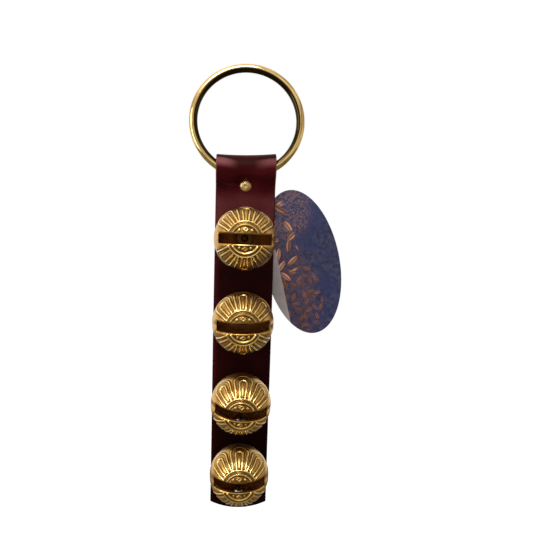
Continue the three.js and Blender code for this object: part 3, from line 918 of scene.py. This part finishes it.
def tag_finish():
    """Blue ink, gritty with russet, copper leaves down its left side, a pale strip, bare card behind."""
    slate, deep_blue = ((0.009, 0.013, 0.060, 1), (0.055, 0.053, 0.128, 1)), (0.014, 0.024, 0.105, 1)
    copper, russet, leaf_dark = (0.66, 0.31, 0.18, 1), (0.26, 0.1, 0.07, 1), (0.09, 0.03, 0.022, 1)
    pale_strip, bare_card = ((0.27, 0.235, 0.24, 1), (0.42, 0.38, 0.385, 1)), (0.72, 0.7, 0.67, 1)
    warm_low, warm_top = (0.12, 0.052, 0.042, 1), (0.24, 0.125, 0.105, 1)
    warm_grounds = (warm_low, (-8, -14, 13, 34)), (warm_top, (-4, 37, 17, 19))
    drifts = (5.5, russet, (-4, -22, 13, 24)), (8, copper, (-12, 18, 11, 32))
    strip_edge, strip_top = (-15.2, -15.5), (13, 12)
    material, shader = new_finish("printed_card")
    place = own_place(material)
    across, along, front = (kept_value(material, f"card_{name}") for name in ("across", "along", "front"))

    def share(value, middle, half):
        """The square of how far a value lies from a middle, as a share of half a width."""
        off = calc(material, "SUBTRACT", value, middle)
        return calc(material, "POWER", calc(material, "DIVIDE", off, half), 2)

    def patch(x, z, half_x, half_z, soft):
        """1 in an oval of the card with a ragged edge, 0 outside it."""
        ragged = calc(material, "MULTIPLY_ADD", noise(material, place, 5 * MM, 4), 0.8, -0.4)
        off = calc(material, "ADD", share(across, x, half_x), share(along, z, half_z))
        off = calc(material, "ADD", off, ragged)
        return between(material, off, 1 + soft, 1 - soft)

    def leaves(size):
        """Pointed leaves, one to a cell of a size in mm: 1 on a leaf, and how dark it is there."""
        spot = add(material, "ShaderNodeCombineXYZ", {0: across, 1: along}).outputs[0]
        inputs = {"Vector": spot, "Scale": 1 / size, "Randomness": 0.7}
        cell = add(material, "ShaderNodeTexVoronoi", inputs, voronoi_dimensions="2D").outputs
        chance = add(material, "ShaderNodeSeparateXYZ", {0: cell["Color"]}).outputs
        inputs = {0: spot, 1: cell["Position"]}
        off = add(material, "ShaderNodeVectorMath", inputs, operation="SUBTRACT").outputs[0]
        turn = calc(material, "MULTIPLY", chance[0], 2 * math.pi)
        inputs = {"Vector": off, "Angle": turn}
        lying = add(material, "ShaderNodeVectorRotate", inputs, rotation_type="Z_AXIS").outputs[0]
        length, width, _ = add(material, "ShaderNodeSeparateXYZ", {0: lying}).outputs
        taper = calc(material, "SUBTRACT", 1, share(length, 0, 0.6 * size))
        reach = calc(material, "MULTIPLY", taper, 0.19 * size)
        aside = calc(material, "ABSOLUTE", width)
        leaf = between(material, calc(material, "SUBTRACT", aside, reach), 0.2, -0.2)
        rib = between(material, aside, 0.45, 0.15, 0, 0.6)
        half = between(material, width, -0.3, 0.3, 0, 0.35)
        tone = calc(material, "ADD", rib, half)
        tone = calc(material, "MULTIPLY_ADD", chance[1], 0.55, tone)
        return leaf, calc(material, "MINIMUM", tone, 1)

    mottle = between(material, noise(material, place, 2.6 * MM, 8), 0.3, 0.7)
    ink = blend(material, mottle, *slate)
    blue = between(material, noise(material, place, 12 * MM, 3), 0.38, 0.62, 0, 0.7)
    ink = blend(material, blue, ink, deep_blue)
    grit = between(material, noise(material, place, 1.2 * MM, 5), 0.4, 0.62, 0, 0.6)
    for warm, where in warm_grounds:
        ink = blend(material, product(material, patch(*where, 0.5), grit), ink, warm)
    for size, light, where in drifts:
        leaf, tone = leaves(size)
        strewn = product(material, leaf, patch(*where, 0.15))
        ink = blend(material, strewn, ink, blend(material, tone, light, leaf_dark))
    strip = product(material, between(material, across, *strip_edge), between(material, along, *strip_top))
    ink = blend(material, strip, ink, blend(material, noise(material, place, 4 * MM, 4), *pale_strip))
    wire(material, shader, {
        "Base Color": blend(material, front, bare_card, ink),
        "Roughness": between(material, noise(material, place, 2 * MM), 0.3, 0.7, 0.4, 0.52),
        "Normal": bumped(material, noise(material, place, 0.4 * MM), 0.006 * MM),
    })
    return material


give_finish(tag, tag_finish())
keep_place(tag)
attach(tag, "strap")
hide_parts("swing_tag")

# Floor and light: a pale floor well below the strap, white all round, soft lamps above and to the left.
# A tent round the camera, seen only in reflections, stands for the room that polished brass mirrors.
floor_level = -0.62
floor_half = 4.0
floor_grey = (0.8, 0.8, 0.8, 1)
floor_lift = 0.65
pure_white = (1, 1, 1, 1)
soft_white_strength = 0.5


def seen_directly(holder):
    """1 for rays from the camera, a mirror or glass."""
    path = add(holder, "ShaderNodeLightPath").outputs
    first = calc(holder, "MAXIMUM", path["Is Camera Ray"], path["Is Glossy Ray"])
    return calc(holder, "MAXIMUM", first, path["Is Transmission Ray"])


def floor_finish():
    """A pale floor that takes shadows, lifted to white for the camera, mirrors and glass."""
    material, plain = new_finish("pale_floor")
    material.node_tree.nodes.remove(plain)
    diffuse = add(material, "ShaderNodeBsdfDiffuse", {"Color": floor_grey})
    lift = calc(material, "MULTIPLY", seen_directly(material), floor_lift)
    glow = add(material, "ShaderNodeEmission", {"Color": pure_white, "Strength": lift})
    both = add(material, "ShaderNodeAddShader", {0: diffuse.outputs[0], 1: glow.outputs[0]})
    wire(material, material.node_tree.nodes["Material Output"], {"Surface": both.outputs[0]})
    return material


floor_corners = [(x * floor_half, y * floor_half, 0) for x, y in ((-1, -1), (1, -1), (1, 1), (-1, 1))]
floor = make_piece("studio_floor", floor_corners, [(0, 1, 2, 3)], Matrix.Translation((0, 0, floor_level)))
give_finish(floor, floor_finish())

world = bpy.data.worlds.new("white_studio")
world.use_nodes = True
bpy.context.scene.world = world
soft = world.node_tree.nodes["Background"]
wire(world, soft, {"Color": pure_white, "Strength": soft_white_strength})
white = add(world, "ShaderNodeBackground", {"Color": pure_white, "Strength": 1.0})
sides = {0: seen_directly(world), 1: soft.outputs[0], 2: white.outputs[0]}
mixed = add(world, "ShaderNodeMixShader", sides)
wire(world, world.node_tree.nodes["World Output"], {"Surface": mixed.outputs[0]})

strap_middle = (0, 0, -0.17)
tent_radius = 1.5


def tent_finish():
    """A room as metal sees it: warm, uneven, brighter overhead, darker to the right, dim low down."""
    warm_light = (1, 0.84, 0.6, 1)
    room_patch, room_dim, room_bright, low_level = 0.45, 0.28, 1.3, 0.26
    material, plain = new_finish("room_tent")
    material.node_tree.nodes.remove(plain)
    place = own_place(material)
    x, _, z = add(material, "ShaderNodeSeparateXYZ", {0: place}).outputs
    level = between(material, noise(material, place, room_patch), 0.36, 0.64, room_dim, room_bright)
    low = between(material, z, -0.1, -0.35)
    level = add(material, "ShaderNodeMix", {0: low, 2: level, 3: low_level}).outputs[0]
    to_right = between(material, x, -0.4, 0.9, 1.0, 0.7)
    overhead = between(material, z, 0.4, 1.3, 1.0, 1.3)
    level = product(material, level, to_right, overhead)
    glow = add(material, "ShaderNodeEmission", {"Color": warm_light, "Strength": level})
    wire(material, material.node_tree.nodes["Material Output"], {"Surface": glow.outputs[0]})
    return material


def tent_shape():
    """A ball round the strap and lamps, flat just over the floor, with a window behind on each side."""
    window_behind, window_aside, window_low, window_high = 0.55, 0.3, -0.2, 0.6
    verts, faces = turned(half_circle(tent_radius), 64)
    above_floor = 0.02
    lowest = floor_level - strap_middle[2] + above_floor
    verts = np.array([(x, y, max(z, lowest)) for x, y, z in verts])
    middles = [verts[list(face)].mean(axis=0) / tent_radius for face in faces]
    windows = [
        y >= window_behind and abs(x) >= window_aside and window_low < z < window_high
        for x, y, z in middles
    ]
    return verts, [face for face, window in zip(faces, windows) if not window]


tent = make_piece("room_tent", *tent_shape(), Matrix.Translation(strap_middle))
give_finish(tent, tent_finish())
tent.visible_camera = False
tent.visible_diffuse = False
tent.visible_shadow = False


def soft_lamp(name, place, width, height, power, colour):
    """A rectangular soft box that faces the strap."""
    lamp = bpy.data.lights.new(name, "AREA")
    lamp.shape = "RECTANGLE"
    lamp.size = width
    lamp.size_y = height
    lamp.energy = power
    lamp.color = colour
    holder = bpy.data.objects.new(name, lamp)
    bpy.context.scene.collection.objects.link(holder)
    turn = (Vector(strap_middle) - Vector(place)).to_track_quat("-Z", "Y").to_matrix().to_4x4()
    holder.matrix_world = Matrix.Translation(place) @ turn


soft_lamp("key_above", (-0.12, -0.62, 0.55), width=0.4, height=0.35, power=5.5, colour=(1, 0.97, 0.92))
soft_lamp("left_wash", (-0.95, -0.55, 0.05), width=0.5, height=0.8, power=4, colour=(1, 0.96, 0.9))
